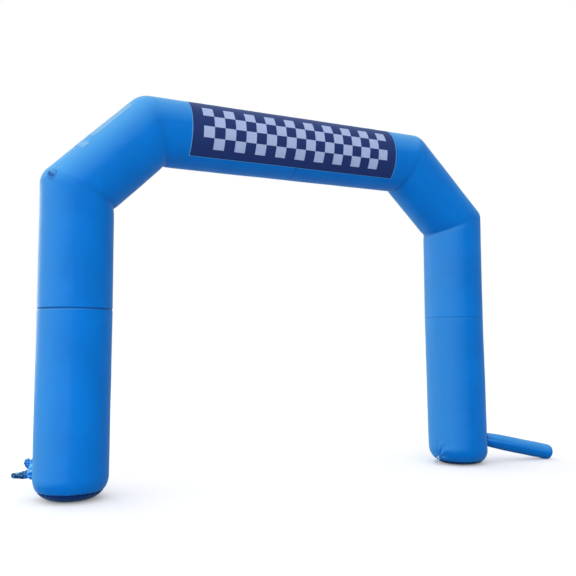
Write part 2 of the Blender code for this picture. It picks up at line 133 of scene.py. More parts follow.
# The banner: how far it stands off the beam, the width of its hem, and the depth of its ripples
BANNER_GAP = 0.0006
BANNER_HEM = 0.012
BANNER_RIPPLE = 0.0022

# Directions of the high and the low light painted into the cloth as a paler colour, and how strong the low
# one is
HIGH_PAINTED_LIGHT = Vector((-0.46, 0.02, 0.89))
LOW_PAINTED_LIGHT = Vector((-0.55, 0.84, 0.0))
LOW_PAINTED_LIGHT_SHARE = 0.74

# Guy points: the patch, and the slack strap sewn across it
GUY_TURN = math.radians(35.0)
GUY_TILT = math.radians(16.0)
GUY_PATCH = 0.062
GUY_WIDTH = 0.025
GUY_FOOT = 0.018
GUY_SPAN = 0.068
GUY_RISE = 0.026
GUY_DROOP = 0.016

# Stake loop on the right leg: the path of its strap, out from the tube's wall and up from the ground
LoopPoint = namedtuple("LoopPoint", "out height")
STAKE_PATH = (
    LoopPoint(-0.0256, 0.120),
    LoopPoint(-0.0318, 0.112),
    LoopPoint(-0.0200, 0.101),
    LoopPoint(0.0020, 0.091),
    LoopPoint(0.0240, 0.077),
    LoopPoint(0.0370, 0.061),
    LoopPoint(0.0380, 0.048),
    LoopPoint(0.0290, 0.041),
    LoopPoint(0.0140, 0.044),
    LoopPoint(-0.0060, 0.055),
    LoopPoint(-0.0240, 0.068),
    LoopPoint(-0.0400, 0.080),
    LoopPoint(-0.0515, 0.090),
)
STAKE_TURN = math.radians(6.0)
STAKE_WIDTH = 0.025

# Hook and loop tape on the left shoulder: along it from its lower mitre, and round it
Tape = namedtuple("Tape", "name start end turn_from turn_to")
TAPES = (
    Tape("tape_short", 0.31, 0.42, math.radians(9.0), math.radians(39.0)),
    Tape("tape_long", 0.50, 1.12, math.radians(9.0), math.radians(32.0)),
)

Bend = namedtuple("Bend", "outward height before after rounding")
Section = namedtuple("Section", "length at")


def from_hex(code):
    """A linear colour from its sRGB hex value."""
    shares = [int(code[index:index + 2], 16) / 255.0 for index in (1, 3, 5)]
    return [share / 12.92 if share <= 0.04045 else ((share + 0.055) / 1.055) ** 2.4 for share in shares]


def length_property(name, description, default):
    """A length in metres that the panel can change."""
    return bpy.props.FloatProperty(
        name=name, description=description, default=default, min=0.0, precision=4,
        subtype="DISTANCE", unit="LENGTH",
    )


def colour_property(name, description, code):
    """A colour that the panel can change."""
    return bpy.props.FloatVectorProperty(
        name=name, description=description, default=from_hex(code), min=0.0, max=1.0,
        size=3, subtype="COLOR",
    )


def falloff(distance, reach):
    """1 where the distance is nought, falling smoothly to 0 past the reach."""
    return math.exp(-((distance / reach) ** 2))


def ring(turn, radius, along):
    """A point on a ring. Noise that is read there closes round a tube."""
    return Vector((math.cos(turn) * radius, math.sin(turn) * radius, along))


class ArchSizes(bpy.types.PropertyGroup):
    """Sizes of the arch."""

    tube_radius: length_property("Tube radius", "Radius of the blown-up tubes", 0.40)
    leg_spacing: length_property("Leg spacing", "From one leg's axis to the other's", 5.20)
    shoulder_height: length_property("Shoulder height", "Where leg and shoulder axes meet", 3.35)
    shoulder_run: length_property("Shoulder run", "How far a shoulder reaches inwards", 0.82)
    beam_height: length_property("Beam height", "Height of the beam's axis", 4.15)
    foot_rounding: length_property("Foot rounding", "Radius of the rounded foot", 0.24)
    inner_rounding: length_property("Inner rounding", "Rounding inside the mitres", 0.03)
    unevenness: length_property("Unevenness", "How far the skin wanders from a true tube", 0.0022)
    banner_length: length_property("Banner length", "Along the beam", 2.80)
    banner_height: length_property("Banner height", "Round the beam", 0.80)
    banner_thickness: length_property("Banner thickness", "Thickness of the banner's cloth", 0.002)
    square_size: length_property("Square size", "Side of the printed squares", 0.1325)
    banner_top: bpy.props.FloatProperty(
        name="Banner top", description="Turn of the banner's top edge from the top of the beam",
        default=math.radians(25.4), subtype="ANGLE", unit="ROTATION",
    )


class ArchColours(bpy.types.PropertyGroup):
    """Colours of the arch and of the floor."""

    cloth: colour_property("Cloth", "Blue coated cloth", "#007CDE")
    cloth_shade: colour_property("Cloth shade", "The same cloth where it is duller", "#0075D4")
    # Painted highlight: paler copies of the cloth and of the base cloth, mixed in where they face the high
    # and the low light
    painted_lit_cloth: colour_property("Painted lit cloth", "The same cloth where it faces the sun", "#58ACEA")
    painted_lit_base: colour_property("Painted lit base", "Base cloth where it faces the sun", "#0A3A80")
    # Painted shadow along the seams, with the seam lines' own darkness; worn blue webbing shows it too
    seam: colour_property("Seam", "Shadow and dust in a seam", "#052F70")
    # Painted light: the sleeve's cloth is coloured brighter than the arch's, for the light through and on
    # its gathered folds
    sleeve: colour_property("Sleeve", "Thinner cloth of the gathered sleeve", "#1CA8FF")
    # Painted highlight: a paler copy of the sleeve's cloth, mixed in where it faces the high and the low
    # light
    painted_lit_sleeve: colour_property("Painted lit sleeve", "The same cloth where it faces the sun", "#8AD2FF")
    # Painted shade in the gathered sleeve's neck, folds and open tip, and blotches on its loose end
    sleeve_shade_and_blotches: colour_property("Sleeve shade and blotches", "Dirt on the gathered sleeve's loose end", "#14304E")
    # The base panels' dark navy is partly the cloth's own and partly painted shade, where the foot faces
    # the ground
    base: colour_property("Base", "Dark cloth of the base panels", "#022E74")
    # Painted shade at the base seam and towards the ground, and painted shadow along the banner's hem
    base_seam: colour_property("Base seam", "Shadow and dirt on the base panels", "#03173C")
    banner: colour_property("Banner", "Printed ground of the banner", "#16306F")
    squares: colour_property("Squares", "Printed squares of the banner", "#AEBFEA")
    # Painted highlight along the banner's outermost edge
    banner_edge: colour_property("Banner edge", "Cut edge of the banner's cloth", "#5CA6EC")
    tape: colour_property("Tape", "Hook and loop tape", "#82BEEC")
    blue_webbing: colour_property("Blue webbing", "Straps at the guy points and the tie", "#1E62B4")
    pale_webbing: colour_property("Pale webbing", "Straps near the ground", "#C4DCF4")
    floor: colour_property("Floor", "Pale floor", "#F4F4F4")


class ArchShape:
    """Where the skin of the arch runs, worked out from its sizes."""

    def __init__(self, sizes):
        self.sizes = sizes
        self.half_spacing = sizes.leg_spacing / 2.0
        rise = sizes.beam_height - sizes.shoulder_height
        self.shoulder_heading = math.atan2(sizes.shoulder_run, rise)

    def place(self, side, outward, front, height):
        """A point by its distance out from the arch's middle, to the front, and up."""
        return ARCH_MIDDLE + Vector((side.sign * outward, -front, height))

    def normal(self, side, heading, turn):
        """Straight off a tube with this heading, at a turn from its outer side to the front."""
        level = math.cos(turn) * math.cos(heading)
        return Vector((side.sign * level, -math.sin(turn), math.cos(turn) * math.sin(heading)))

    def leg_axis(self, side, height):
        """How far out the leg's axis is at this height."""
        return self.half_spacing + side.foot_spread * max(0.0, 1.0 - height / side.mid_seam)

    def leg_point(self, side, turn, height, radius):
        """A point on the leg at this height."""
        axis = self.leg_axis(side, height)
        return self.place(side, axis + radius * math.cos(turn), radius * math.sin(turn), height)

    def beam_point(self, side, turn, outward):
        """A point on the beam, at a distance out from its middle."""
        radius = self.sizes.tube_radius
        height = self.sizes.beam_height + radius * math.cos(turn)
        return self.place(side, outward, radius * math.sin(turn), height)

    def bends(self, side):
        """The mitres at the two ends of a shoulder."""
        crown = self.half_spacing - self.sizes.shoulder_run
        lower = Bend(self.half_spacing, self.sizes.shoulder_height, 0.0, self.shoulder_heading,
                     side.shoulder_rounding)
        upper = Bend(crown, self.sizes.beam_height, self.shoulder_heading, math.pi / 2.0,
                     side.beam_rounding)
        return lower, upper

    def bend_rounding(self, bend, turn):
        """The rounding of a mitre's edge, widest outside and tight inside."""
        outer_share = ((1.0 + math.cos(turn)) / 2.0) ** 2
        return self.sizes.inner_rounding + (bend.rounding - self.sizes.inner_rounding) * outer_share

    def bend_point(self, side, bend, turn, part):
        """A point on a rounded mitre, at a part from 0 where it starts to 1 where it ends."""
        half = (bend.after - bend.before) / 2.0
        middle = bend.before + half
        rounding = self.bend_rounding(bend, turn)
        offset = (self.sizes.tube_radius * math.cos(turn) - rounding) / math.cos(half)
        heading = bend.before + part * 2.0 * half
        outward = bend.outward + offset * math.cos(middle) + rounding * math.cos(heading)
        height = bend.height + offset * math.sin(middle) + rounding * math.sin(heading)
        return self.place(side, outward, self.sizes.tube_radius * math.sin(turn), height)

    def straight_section(self, start, end, normal):
        """A straight stretch of skin."""
        return Section((end - start).length, lambda share: (start.lerp(end, share), normal))

    def bend_section(self, side, bend, turn, first, last):
        """A stretch of skin round a mitre, between two parts of it."""
        angle = bend.after - bend.before

        def at(share):
            part = first + (last - first) * share
            normal = self.normal(side, bend.before + part * angle, turn)
            return self.bend_point(side, bend, turn, part), normal

        return Section(self.bend_rounding(bend, turn) * angle * (last - first), at)

    def foot_rounding(self, side, turn):
        """The rounding of the foot's edge, which differs on its outer side."""
        outer_share = ((1.0 + math.cos(turn)) / 2.0) ** 2
        return self.sizes.foot_rounding + (side.foot_outer - self.sizes.foot_rounding) * outer_share

    def foot_section(self, side, turn, low, high):
        """A stretch of the rounded foot, between two swells from 0 on the ground to a quarter turn."""
        rounding = self.foot_rounding(side, turn)

        def at(share):
            swell = low + (high - low) * share
            radius = self.sizes.tube_radius - rounding * (1.0 - math.sin(swell))
            point = self.leg_point(side, turn, rounding * (1.0 - math.cos(swell)), radius)
            level = self.normal(side, 0.0, turn) * math.sin(swell)
            return point, level - Vector((0.0, 0.0, math.cos(swell)))

        return Section(rounding * (high - low), at)

    def line_sections(self, panel, side, turn):
        """The stretches of skin that one line along a panel runs over, in order."""
        lower, upper = self.bends(side)
        radius = self.sizes.tube_radius
        rounding = self.foot_rounding(side, turn)
        seam_swell = math.acos(1.0 - side.base_seam / rounding)
        level = self.normal(side, 0.0, turn)
        if panel.name == "base":
            centre = self.leg_point(side, turn, 0.0, 0.0)
            rim = self.leg_point(side, turn, 0.0, radius - rounding)
            return (
                self.straight_section(centre, rim, Vector((0.0, 0.0, -1.0))),
                self.foot_section(side, turn, 0.0, seam_swell),
            )
        middle = self.leg_point(side, turn, side.mid_seam, radius)
        if panel.name == "leg_lower":
            start = self.leg_point(side, turn, rounding, radius)
            return (
                self.foot_section(side, turn, seam_swell, math.pi / 2.0),
                self.straight_section(start, middle, level),
            )
        if panel.name == "leg_upper":
            return (
                self.straight_section(middle, self.bend_point(side, lower, turn, 0.0), level),
                self.bend_section(side, lower, turn, 0.0, 0.5),
            )
        if panel.name == "shoulder":
            start = self.bend_point(side, lower, turn, 1.0)
            end = self.bend_point(side, upper, turn, 0.0)
            return (
                self.bend_section(side, lower, turn, 0.5, 1.0),
                self.straight_section(start, end, self.normal(side, self.shoulder_heading, turn)),
                self.bend_section(side, upper, turn, 0.0, 0.5),
            )
        upright = self.normal(side, math.pi / 2.0, turn)
        start = self.bend_point(side, upper, turn, 1.0)
        return (
            self.bend_section(side, upper, turn, 0.5, 1.0),
            self.straight_section(start, self.beam_point(side, turn, 0.0), upright),
        )

    def unevenness(self, point):
        """How far the skin stands off a true tube here, over long waves that no seam makes."""
        grounded = min(1.0, max(0.0, point.z / 0.15))
        wave = noise.noise(point * 2.1) + 0.4 * noise.noise(point * 5.3)
        return self.sizes.unevenness * grounded * wave

    def pulls(self, point, side):
        """How far straps and sleeves pull the skin in here, in folds that point at them."""
        drawn = 0.0
        for pull in PULLS:
            if pull.side is not side:
                continue
            centre = self.leg_point(side, pull.turn, pull.height, self.sizes.tube_radius)
            away = point - centre
            if away.length > 3.0 * pull.reach:
                continue
            across = Vector((0.0, 0.0, 1.0)).cross(self.normal(side, 0.0, pull.turn))
            bearing = math.atan2(away.z, away.dot(across))
            fold = 0.55 + 0.45 * math.cos(pull.folds * bearing + 3.0 * noise.noise(away * 6.0))
            near = 2.5 * away.length / pull.reach
            drawn += pull.depth * fold * near * math.exp(1.0 - near)
        return drawn

    def seam_share(self, seam, side, turn):
        """How strongly a seam shows at this turn: a mitre's fades on its outer side."""
        if seam is RING_SEAM:
            return side.mid_share
        if not seam.fades:
            return 1.0
        return 0.06 + 0.94 * ((1.0 - math.cos(turn)) / 2.0) ** 1.3

    def seam_pull(self, seam, side, turn, distance, where):
        """How far a seam pulls the skin in, at a distance from it."""
        groove = seam.depth * falloff(distance, seam.reach)
        ripple = noise.noise(ring(turn, 9.5, where))
        ripple += 0.5 * noise.noise(ring(turn, 21.0, where + 7.0))
        gather = seam.pucker * max(0.0, 0.35 + ripple) * math.exp(-distance / seam.pucker_reach)
        return (groove + gather) * self.seam_share(seam, side, turn)

    def skin(self, panel, side, turn, share):
        """A point of a panel, its distance along from the anchor, and how dark its seam is there."""
        sections = self.line_sections(panel, side, turn)
        whole = sum(section.length for section in sections)
        distance = whole * share
        left = distance
        for section in sections:
            if left <= section.length or section is sections[-1]:
                point, normal = section.at(min(1.0, left / max(section.length, 0.000001)))
                break
            left -= section.length
        drawn = self.pulls(point, side)
        dark = 0.0
        for seam, away in ((panel.first, distance), (panel.last, whole - distance)):
            where = seam.depth * 1000.0 + side.sign * 3.0
            drawn += self.seam_pull(seam, side, turn, away, where)
            # Painted shadow along each seam, as dark as the seam gives
            shadow = seam.dark * falloff(away, 1.1 * seam.reach)
            dark = max(dark, shadow * self.seam_share(seam, side, turn))
        moved = point + normal * (self.unevenness(point) - drawn)
        moved.z = max(moved.z, 0.0)
        return moved, distance - whole * panel.anchor, dark


def crowded_ends(share, crowding):
    """A share from 0 to 1 moved so that rows crowd towards both ends."""
    return share - crowding * math.sin(2.0 * math.pi * share) / (2.0 * math.pi)


def add_node(tree, kind, sockets=None, **settings):
    """Add a node, with its settings, and with its sockets set to values or linked to outputs."""
    node = tree.nodes.new(kind)
    for name, value in settings.items():
        setattr(node, name, value)
    for socket, value in (sockets or {}).items():
        if isinstance(value, bpy.types.NodeSocket):
            tree.links.new(value, node.inputs[socket])
        else:
            node.inputs[socket].default_value = value
    return node


def new_material(name, values=None):
    """A material, its tree and its shader, whose own sockets are set to these constant values."""
    material = bpy.data.materials.new(name)
    material.use_nodes = True
    tree = material.node_tree
    shader = tree.nodes["Principled BSDF"]
    for socket, value in (values or {}).items():
        shader.inputs[socket].default_value = value
    return material, tree, shader


def with_alpha(colour):
    """A node's colour from a property's."""
    return (*colour, 1.0)


def bands(spacing):
    """The scale of a wave texture whose bands are this far apart."""
    return 2.0 * math.pi / 20.0 / spacing


def blend(tree, share, under, over):
    """A colour that goes from one to another by a share."""
    return add_node(tree, "ShaderNodeMix", {0: share, 6: under, 7: over}, data_type="RGBA").outputs[2]


def scaled(tree, colour, share):
    """A colour times a share."""
    return add_node(tree, "ShaderNodeVectorMath", {
        0: colour, "Scale": share}, operation="SCALE").outputs["Vector"]


def spread(tree, value, low, high, least=0.0, most=1.0):
    """A value, moved from between low and high to between least and most."""
    return add_node(tree, "ShaderNodeMapRange", {
        "Value": value, "From Min": low, "From Max": high, "To Min": least, "To Max": most,
    }).outputs["Result"]


def worked_out(tree, operation, *values):
    """The result of one operation on numbers or outputs."""
    return add_node(tree, "ShaderNodeMath", dict(enumerate(values)), operation=operation).outputs["Value"]


def attribute(tree, name):
    """The number that a point's attribute holds."""
    return add_node(tree, "ShaderNodeAttribute", attribute_name=name).outputs["Fac"]


def cloudy(tree, where, scale, detail, roughness=0.5):
    """Smooth noise between 0 and 1."""
    return add_node(tree, "ShaderNodeTexNoise", {
        "Vector": where, "Scale": scale, "Detail": detail, "Roughness": roughness,
    }).outputs["Fac"]


def banded(tree, where, spacing, distortion, direction):
    """Smooth bands this far apart."""
    return add_node(tree, "ShaderNodeTexWave", {
        "Vector": where, "Scale": bands(spacing), "Distortion": distortion,
    }, bands_direction=direction).outputs["Fac"]


def plain_weave(tree, where, spacing, distortion):
    """The height of a plain weave whose threads are this far apart."""
    warp = banded(tree, where, spacing, distortion, "X")
    weft = banded(tree, where, spacing, distortion, "Y")
    return worked_out(tree, "MULTIPLY", warp, weft)


def bumped(tree, height, strength, distance, under=None):
    """A normal tilted by a height, over another bump if one is given."""
    sockets = {"Height": height, "Strength": strength, "Distance": distance}
    if under is not None:
        sockets["Normal"] = under
    return add_node(tree, "ShaderNodeBump", sockets).outputs["Normal"]


def coated_cloth(name, light, dark, painted_lit_cloth, seam, roughness, thread):
    """Oxford cloth woven from nylon or polyester and coated with polyurethane: an even colour with
    a soft shine, a fine plain weave, and long shallow creases from folding. The weave scatters a
    little cool light along the edges of a tube."""
    material, tree, shader = new_material(name, {
        "IOR": 1.18, "Sheen Weight": 0.38, "Sheen Roughness": 0.36,
        "Sheen Tint": (0.35, 0.80, 1.0, 1.0),
    })
    where = add_node(tree, "ShaderNodeTexCoord")

    # The dye and the coating vary over about half a metre
    cloud = cloudy(tree, where.outputs["Object"], 2.2, 3.0)
    dye = blend(tree, spread(tree, cloud, 0.35, 0.65), with_alpha(light), with_alpha(dark))

    # Painted highlight where the cloth faces the high and the low light, and the dark colour mixed in
    # where seam_dark rises: painted shade at seams, in hollows and towards the ground, and blotches on the
    # gathered sleeve's loose end
    highlight_share = spread(tree, attribute(tree, "painted_light_share"), 0.06, 0.92, most=0.94)
    highlighted_dye = blend(tree, highlight_share, dye, with_alpha(painted_lit_cloth))
    shaded = blend(tree, attribute(tree, "seam_dark"), highlighted_dye, with_alpha(seam))
    tree.links.new(shaded, shader.inputs["Base Color"])

    # Real threads lie about half a millimetre apart: drawn coarser, so that the weave shows up close
    weave = plain_weave(tree, where.outputs["UV"], thread, 0.3)
    weave_bump = bumped(tree, weave, 0.25, 0.0004)

    # Creases from folding are a hand's breadth apart and run mostly round the tube
    stretched = add_node(tree, "ShaderNodeMapping", {
        "Vector": where.outputs["UV"], "Scale": (3.0, 9.0, 1.0)})
    crease = cloudy(tree, stretched.outputs["Vector"], 1.0, 4.0, roughness=0.55)
    tree.links.new(bumped(tree, crease, 0.35, 0.006, weave_bump), shader.inputs["Normal"])

    # The coating is worn a little duller in patches
    worn = spread(tree, cloud, 0.0, 1.0, roughness - 0.05, roughness + 0.07)
    tree.links.new(worn, shader.inputs["Roughness"])
    return material


def printed_banner(name, ground, squares, hem, edge_highlight, square_size):
    """Polyester banner cloth, dye printed: matt ink on a fine weave, in a race flag's chequers."""
    material, tree, shader = new_material(name, {
        "Roughness": 0.52, "IOR": 1.30, "Sheen Weight": 0.25, "Sheen Roughness": 0.45,
        "Sheen Tint": (0.20, 0.45, 1.0, 1.0),
    })
    where = add_node(tree, "ShaderNodeTexCoord").outputs["UV"]
    columns, rows = 19.0, 4.0
    cells = add_node(tree, "ShaderNodeMapping", {
        "Vector": where, "Scale": (1.0 / square_size, 1.0 / square_size, 1.0),
        "Location": (columns / 2.0, rows / 2.0, 0.5)}).outputs["Vector"]
    inside = add_node(tree, "ShaderNodeTexChecker", {
        "Vector": cells, "Scale": 1.0,
        "Color1": (1.0, 1.0, 1.0, 1.0), "Color2": (0.0, 0.0, 0.0, 1.0)}).outputs["Fac"]
    apart = add_node(tree, "ShaderNodeSeparateXYZ", {"Vector": cells})
    for axis, count in (("X", columns), ("Y", rows)):
        within = worked_out(tree, "COMPARE", apart.outputs[axis], count / 2.0, count / 2.0)
        inside = worked_out(tree, "MULTIPLY", inside, within)
    print_colour = blend(tree, inside, with_alpha(ground), with_alpha(squares))

    # Ink takes unevenly on woven cloth, over a few centimetres
    ink = spread(tree, cloudy(tree, where, 14.0, 5.0), 0.0, 1.0, 0.86, 1.06)
    inked = scaled(tree, print_colour, ink)

    # Painted shadow along the hem, and past it a painted highlight along the banner's outermost edge
    edge = attribute(tree, "seam_dark")
    hem_shaded = blend(tree, spread(tree, edge, 0.20, 0.45, most=0.75), inked, with_alpha(hem))
    bare = blend(tree, spread(tree, edge, 0.55, 0.68, most=0.90), hem_shaded, with_alpha(edge_highlight))
    tree.links.new(bare, shader.inputs["Base Color"])

    # Threads about 0.4 mm apart, drawn at 4 mm so that they show up close
    weave = plain_weave(tree, where, 0.004, 0.2)
    tree.links.new(bumped(tree, weave, 0.3, 0.0004), shader.inputs["Normal"])
    return material


def woven_strap(name, colour, under, spacing, roughness):
    """Polypropylene webbing or tape: thick ribbed yarn, matt, with a painted highlight on the ribs and
    painted shade between them. It wears through to the colour under it where its seam_dark attribute
    rises."""
    material, tree, shader = new_material(name, {"Roughness": roughness})
    where = add_node(tree, "ShaderNodeTexCoord").outputs["Object"]

    # Ribs are 1 to 2 mm apart on the real strap, and are drawn at the spacing given
    ribs = banded(tree, where, spacing, 0.6, "DIAGONAL")
    height = worked_out(tree, "ADD", ribs, cloudy(tree, where, 1.0 / spacing, 3.0))
    # Painted highlight on the ribs and painted shade between them: the yarn's colour follows their height
    yarn = scaled(tree, tuple(colour), spread(tree, height, 0.2, 1.6, 0.72, 1.10))

    # Yarn wears off in tufts a few centimetres across
    wear = worked_out(tree, "ADD", cloudy(tree, where, 38.0, 3.0), attribute(tree, "seam_dark"))
    worn = blend(tree, spread(tree, wear, 0.78, 1.12), yarn, with_alpha(under))
    tree.links.new(worn, shader.inputs["Base Color"])
    tree.links.new(bumped(tree, height, 0.6, 0.0006), shader.inputs["Normal"])
    return material


def pale_floor(colour):
    """Pale matt ground. Only the camera sees it pale: it lights the arch from below as dull as grass."""
    material, tree, shader = new_material("Pale matt ground", {
        "Base Color": with_alpha(colour), "Roughness": 0.9, "Specular IOR Level": 0.1,
        "Emission Color": (1.0, 1.0, 1.0, 1.0), "Emission Strength": 0.20,
    })
    dull = add_node(tree, "ShaderNodeBsdfDiffuse", {"Color": (0.46, 0.47, 0.48, 1.0)})
    path = add_node(tree, "ShaderNodeLightPath")
    seen = add_node(tree, "ShaderNodeMixShader", {
        0: path.outputs["Is Camera Ray"], 1: dull.outputs["BSDF"], 2: shader.outputs["BSDF"]})
    tree.links.new(seen.outputs["Shader"], tree.nodes["Material Output"].inputs["Surface"])
    return material


def soft_sky():
    """An overcast sky, brightest above and to the left, that the camera sees as plain white."""
    world = bpy.data.worlds.new("Soft sky")
    world.use_nodes = True
    tree = world.node_tree
    where = add_node(tree, "ShaderNodeTexCoord")
    leaned = add_node(tree, "ShaderNodeVectorMath", {
        0: where.outputs["Generated"], 1: (-0.80, -0.06, 0.60)}, operation="DOT_PRODUCT")
    share = spread(tree, leaned.outputs["Value"], -0.8, 1.0, 0.26, 1.30)
    path = add_node(tree, "ShaderNodeLightPath")
    seen = add_node(tree, "ShaderNodeMix", {
        0: path.outputs["Is Camera Ray"], 2: share, 3: 1.0}, data_type="FLOAT")
    sky = tree.nodes["Background"]
    sky.inputs["Color"].default_value = (1.0, 1.0, 1.0, 1.0)
    tree.links.new(seen.outputs[0], sky.inputs["Strength"])
    return world


def arch_materials(colours, sizes):
    """The arch's materials, by the record's material slot, made on first use."""
    made = bpy.data.materials
    if "Coated oxford nylon" not in made:
        coated_cloth("Coated oxford nylon", colours.cloth, colours.cloth_shade, colours.painted_lit_cloth,
                     colours.seam, roughness=0.42, thread=0.005)
        coated_cloth("Soiled ripstop nylon", colours.sleeve, colours.cloth, colours.painted_lit_sleeve,
                     colours.sleeve_shade_and_blotches, roughness=0.36, thread=0.005)
        coated_cloth("Coated base polyester", colours.base, colours.base, colours.painted_lit_base,
                     colours.base_seam, roughness=0.50, thread=0.006)
        printed_banner("Dye printed polyester", colours.banner, colours.squares, colours.base_seam,
                       colours.banner_edge, sizes.square_size)
        woven_strap("Hook and loop tape", colours.tape, colours.painted_lit_cloth,
                    spacing=0.004, roughness=0.85)
        woven_strap("Blue polypropylene webbing", colours.blue_webbing, colours.seam,
                    spacing=0.003, roughness=0.70)
        woven_strap("Pale polypropylene webbing", colours.pale_webbing, colours.tape,
                    spacing=0.003, roughness=0.70)
    return {
        "blue_cloth": made["Coated oxford nylon"],
        "base_cloth": made["Coated base polyester"],
        "banner_cloth": made["Dye printed polyester"],
        "pale_tape": made["Hook and loop tape"],
        "blue_webbing": made["Blue polypropylene webbing"],
        "pale_webbing": made["Pale polypropylene webbing"],
    }


def finish_piece(context, shape, name, slot, nodes):
    """Make a piece from a bmesh, with the material of its slot, and hide its CAD nodes. Each point records
    how squarely it faces the high and the low light of the painted highlight.
    """
    # Painted highlight: how squarely a point faces the high and the low light sets how much paler it is
    # painted
    painted_light_layer = shape.verts.layers.float.new("painted_light_share")
    shape.normal_update()
    for vert in shape.verts:
        low_painted_light = LOW_PAINTED_LIGHT_SHARE * vert.normal.dot(LOW_PAINTED_LIGHT)
        vert[painted_light_layer] = max(0.0, vert.normal.dot(HIGH_PAINTED_LIGHT), low_painted_light)
    mesh = bpy.data.meshes.new(name)
    shape.to_mesh(mesh)
    shape.free()
    mesh.shade_smooth()
    piece = bpy.data.objects.new(name, mesh)
    context.scene.collection.objects.link(piece)
    scene = context.scene
    mesh.materials.append(arch_materials(scene.arch_colours, scene.arch_sizes)[slot])
    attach(piece, "root")
    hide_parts(*nodes)
    return piece


def rolled_sheet(columns, rows, crowding, place, closed=False):
    """A flat grid laid over a surface, and joined where it closes on itself.

    place gives, for shares across and along, a point, its two distances in metres and how dark
    its seam is. They become the vertex, its UV and its seam_dark attribute.
    """
    shape = bmesh.new()
    bmesh.ops.create_grid(shape, x_segments=columns, y_segments=rows, size=0.5, calc_uvs=True)
    uv_layer = shape.loops.layers.uv.verify()
    dark_layer = shape.verts.layers.float.new("seam_dark")
    laid = {}
    for vert in shape.verts:
        point, flat, dark = place(vert.co.x + 0.5, crowded_ends(vert.co.y + 0.5, crowding))
        laid[vert] = (point, flat)
        vert[dark_layer] = dark
    for vert, (point, flat) in laid.items():
        vert.co = point
        for loop in vert.link_loops:
            loop[uv_layer].uv = flat
    if closed:
        bmesh.ops.remove_doubles(shape, verts=shape.verts, dist=MERGE_DISTANCE)
    return shape


def turn_outward(shape, outward):
    """Turn every face round if the largest one's normal isn't the way that outward gives for it."""
    shape.normal_update()
    face = max(shape.faces, key=lambda item: item.calc_area())
    if face.normal.dot(outward(face.calc_center_median())) < 0.0:
        bmesh.ops.reverse_faces(shape, faces=shape.faces)


def make_panel(context, arch, panel, side):
    """The skin of one panel, as a rolled sheet closed along its length."""
    def place(across, along):
        turn = 2.0 * math.pi * across
        point, distance, dark = arch.skin(panel, side, turn, along)
        if panel.name == "base":
            # Painted shade: the base panel darkens towards the ground, where the foot turns under
            dark = max(dark, 0.9 * (1.0 - smooth_between(point.z, 0.0, 0.035)))
        return point, (turn * arch.sizes.tube_radius, distance), dark

    shape = rolled_sheet(ROUND_TUBE, panel.rows, 0.9, place, closed=True)
    core = arch.place(side, arch.half_spacing, 0.0, 1.0)
    if panel.name in ("shoulder", "beam"):
        lower, upper = arch.bends(side)
        core = arch.place(side, upper.outward, 0.0, upper.height)

    def outward(centre):
        if panel.name == "beam":
            return centre - Vector((centre.x, core.y, core.z))
        if panel.name == "shoulder":
            foot = arch.place(side, arch.half_spacing, 0.0, arch.sizes.shoulder_height)
            along = (core - foot).normalized()
            return (centre - foot) - along * (centre - foot).dot(along)
        return centre - Vector((core.x, core.y, centre.z))

    turn_outward(shape, outward)
    name = f"{panel.name}_{side.name}"
    piece = finish_piece(context, shape, f"{name}_skin", panel.slot, [name])


class ARCH_OT_tubes(bpy.types.Operator):
    """Make the skins of the legs, the shoulders, the beam and the dark bases"""

    bl_idname = "arch.tubes"
    bl_label = "Tube skins"

    def execute(self, context):
        arch = ArchShape(context.scene.arch_sizes)
        for side in (LEFT, RIGHT):
            for panel in PANELS:
                make_panel(context, arch, panel, side)
        return {"FINISHED"}


class ARCH_OT_banner(bpy.types.Operator):
    """Make the printed banner that is sewn round the front of the beam"""

    bl_idname = "arch.banner"
    bl_label = "Banner"

    def execute(self, context):
        sizes = context.scene.arch_sizes
        arch = ArchShape(sizes)

        def place(across, along):
            outward = sizes.banner_length * (across - 0.5)
            down = sizes.banner_height * along
            turn = sizes.banner_top + down / sizes.tube_radius
            edge = min(
                sizes.banner_length * min(across, 1.0 - across),
                sizes.banner_height * min(along, 1.0 - along),
            )
            bare = arch.beam_point(RIGHT, turn, outward)
            normal = arch.normal(RIGHT, math.pi / 2.0, turn)
            ripple = BANNER_RIPPLE * max(0.0, noise.noise(bare * 13.0)) * math.exp(-edge / 0.05)
            lift = BANNER_GAP + arch.unevenness(bare) + ripple
            flat = (outward, self.centre_down(sizes) - down)
            return bare + normal * lift, flat, math.exp(-edge / BANNER_HEM)

        shape = rolled_sheet(150, 48, 0.6, place)
        beam_axis = arch.place(RIGHT, 0.0, 0.0, sizes.beam_height)
        turn_outward(shape, lambda centre: Vector((0.0, *(centre - beam_axis).yz)))
        banner = finish_piece(context, shape, "printed_banner", "banner_cloth", ["banner"])
        thicken(banner, sizes.banner_thickness, 1.0)
        return {"FINISHED"}

    @staticmethod
    def centre_down(sizes):
        """How far below the banner's top edge the middle of the printed squares lies."""
        return (math.radians(86.0) - sizes.banner_top) * sizes.tube_radius


def sleeve_frame(arch, side, heading):
    """The leg's axis on the ground, and the directions along and across a sleeve's heading."""
    foot = arch.leg_point(side, 0.0, 0.0, 0.0)
    along = Vector((math.cos(heading), math.sin(heading), 0.0))
    return foot, along, Vector((-along.y, along.x, 0.0))


def smooth_between(value, low, high):
    """0 below low, 1 above high, and smooth between them."""
    share = min(1.0, max(0.0, (value - low) / (high - low)))
    return share * share * (3.0 - 2.0 * share)


def sleeve_height(reach):
    """The height of the blower sleeve's middle, which falls evenly from the leg to the ground."""
    return SLEEVE_ROOT - SLEEVE_SLOPE * (reach - SLEEVE_WALL)


